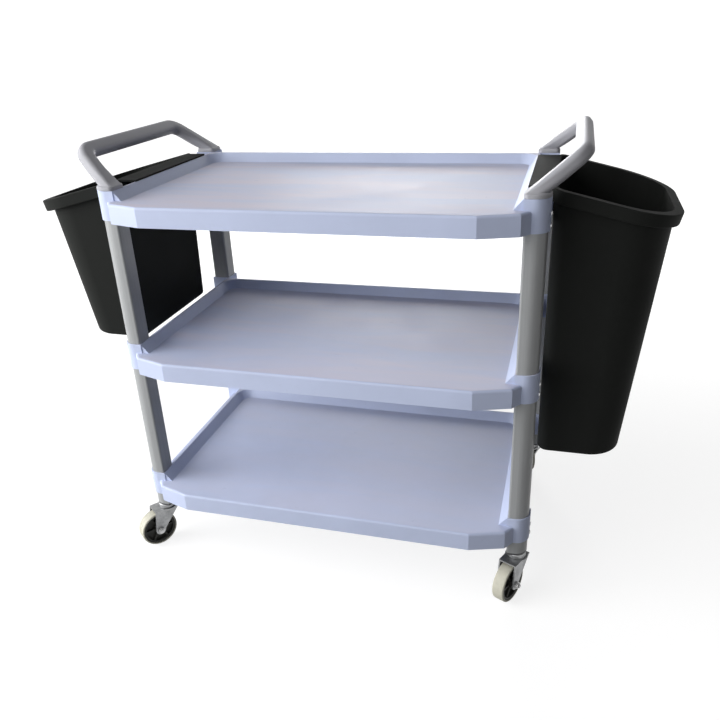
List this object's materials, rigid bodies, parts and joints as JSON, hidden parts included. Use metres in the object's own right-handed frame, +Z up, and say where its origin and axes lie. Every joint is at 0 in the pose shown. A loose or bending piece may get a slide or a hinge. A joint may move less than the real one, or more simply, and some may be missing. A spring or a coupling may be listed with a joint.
{
  "type": "serving trolley",
  "caption": "Catering trolley of stacked shelves on corner posts, with a loop handle and a hanging waste bin at each end, on swivel casters.",
  "frame": {"origin": "on the floor, under the middle of the shelves", "axes": "+X along the trolley towards the large bin, +Y from the front lip to the back, +Z up"},
  "size_m": [1.2432, 0.5632, 0.8706],
  "materials": {
    "shelf_plastic": "fine moulded texture, pale grey",
    "post_aluminium": "satin, brushed along the post",
    "handle_plastic": "smooth moulded grey",
    "socket_plastic": "moulded, dark",
    "screw_steel": "zinc plated",
    "bin_plastic": "moulded black with a fine grain",
    "caster_steel": "zinc plated pressing",
    "bolt_steel": "zinc plated",
    "bush_brass": "turned",
    "wheel_plastic": "moulded, dark grey",
    "tyre_rubber": "pale non-marking tread",
    "pedal_plastic": "moulded, dark grey"
  },
  "bodies": {
    "chassis": {"top_shelf": "shelf_plastic", "middle_shelf": "shelf_plastic", "bottom_shelf": "shelf_plastic", "handle_right": "handle_plastic", "caster_sockets": "socket_plastic", "handle_left": "handle_plastic", "shelf_screws": "screw_steel", "handle_screws": "screw_steel", "post_front_left": "post_aluminium", "caster_front_left_stem": "caster_steel", "post_front_right": "post_aluminium", "caster_front_right_stem": "caster_steel", "post_back_left": "post_aluminium", "caster_back_left_stem": "caster_steel", "post_back_right": "post_aluminium", "caster_back_right_stem": "caster_steel"},
    "bin_left": {"bin_left": "bin_plastic"},
    "bin_right": {"bin_right": "bin_plastic"},
    "caster_front_left_swivel": {"caster_front_left_fork": "caster_steel", "caster_front_left_axle_bolt": "bolt_steel", "caster_front_left_axle_nut": "bolt_steel", "caster_front_left_axle_bush": "bush_brass"},
    "caster_front_left_wheel": {"caster_front_left_hub": "wheel_plastic", "caster_front_left_tyre": "tyre_rubber"},
    "caster_front_right_swivel": {"caster_front_right_fork": "caster_steel", "caster_front_right_axle_bolt": "bolt_steel", "caster_front_right_axle_nut": "bolt_steel", "caster_front_right_axle_bush": "bush_brass"},
    "caster_front_right_wheel": {"caster_front_right_hub": "wheel_plastic", "caster_front_right_tyre": "tyre_rubber"},
    "caster_back_left_swivel": {"caster_back_left_fork": "caster_steel", "caster_back_left_axle_bolt": "bolt_steel", "caster_back_left_axle_nut": "bolt_steel", "caster_back_left_axle_bush": "bush_brass", "caster_back_left_brake_pin": "bolt_steel"},
    "caster_back_left_wheel": {"caster_back_left_hub": "wheel_plastic", "caster_back_left_tyre": "tyre_rubber"},
    "caster_back_left_brake": {"caster_back_left_brake_pedal": "pedal_plastic"},
    "caster_back_right_swivel": {"caster_back_right_fork": "caster_steel", "caster_back_right_axle_bolt": "bolt_steel", "caster_back_right_axle_nut": "bolt_steel", "caster_back_right_axle_bush": "bush_brass", "caster_back_right_brake_pin": "bolt_steel"},
    "caster_back_right_wheel": {"caster_back_right_hub": "wheel_plastic", "caster_back_right_tyre": "tyre_rubber"},
    "caster_back_right_brake": {"caster_back_right_brake_pedal": "pedal_plastic"}
  },
  "joints": [
    {"name": "bin_left_lift", "type": "slide", "parent": "chassis", "child": "bin_left", "axis": [0, 0, 1], "range_m": [0, 0.03]},
    {"name": "bin_right_lift", "type": "slide", "parent": "chassis", "child": "bin_right", "axis": [0, 0, 1], "range_m": [0, 0.03]},
    {"name": "caster_front_left_turn", "type": "hinge", "parent": "chassis", "child": "caster_front_left_swivel", "pos_m": [-0.38685, -0.20835, 0.0875], "axis": [0, 0, 1], "continuous": true},
    {"name": "caster_front_left_roll", "type": "hinge", "parent": "caster_front_left_swivel", "child": "caster_front_left_wheel", "pos_m": [-0.40532, -0.23199, 0.04], "axis": [0.788, -0.6157, 0], "continuous": true},
    {"name": "caster_front_right_turn", "type": "hinge", "parent": "chassis", "child": "caster_front_right_swivel", "pos_m": [0.38685, -0.20835, 0.0875], "axis": [0, 0, 1], "continuous": true},
    {"name": "caster_front_right_roll", "type": "hinge", "parent": "caster_front_right_swivel", "child": "caster_front_right_wheel", "pos_m": [0.37417, -0.23554, 0.04], "axis": [0.9063, -0.4226, 0], "continuous": true},
    {"name": "caster_back_left_turn", "type": "hinge", "parent": "chassis", "child": "caster_back_left_swivel", "pos_m": [-0.38685, 0.20835, 0.0875], "axis": [0, 0, 1], "continuous": true},
    {"name": "caster_back_left_roll", "type": "hinge", "parent": "caster_back_left_swivel", "child": "caster_back_left_wheel", "pos_m": [-0.3936, 0.23758, 0.04], "axis": [-0.9744, -0.225, 0], "continuous": true},
    {"name": "caster_back_left_brake_press", "type": "hinge", "parent": "caster_back_left_swivel", "child": "caster_back_left_brake", "pos_m": [-0.3981, 0.25707, 0.084], "axis": [-0.9744, -0.225, 0], "range_deg": [0, 14]},
    {"name": "caster_back_right_turn", "type": "hinge", "parent": "chassis", "child": "caster_back_right_swivel", "pos_m": [0.38685, 0.20835, 0.0875], "axis": [0, 0, 1], "continuous": true},
    {"name": "caster_back_right_roll", "type": "hinge", "parent": "caster_back_right_swivel", "child": "caster_back_right_wheel", "pos_m": [0.3761, 0.23636, 0.04], "axis": [-0.9336, -0.3584, 0], "continuous": true},
    {"name": "caster_back_right_brake_press", "type": "hinge", "parent": "caster_back_right_swivel", "child": "caster_back_right_brake", "pos_m": [0.36893, 0.25503, 0.084], "axis": [-0.9336, -0.3584, 0], "range_deg": [0, 14]}
  ]
}
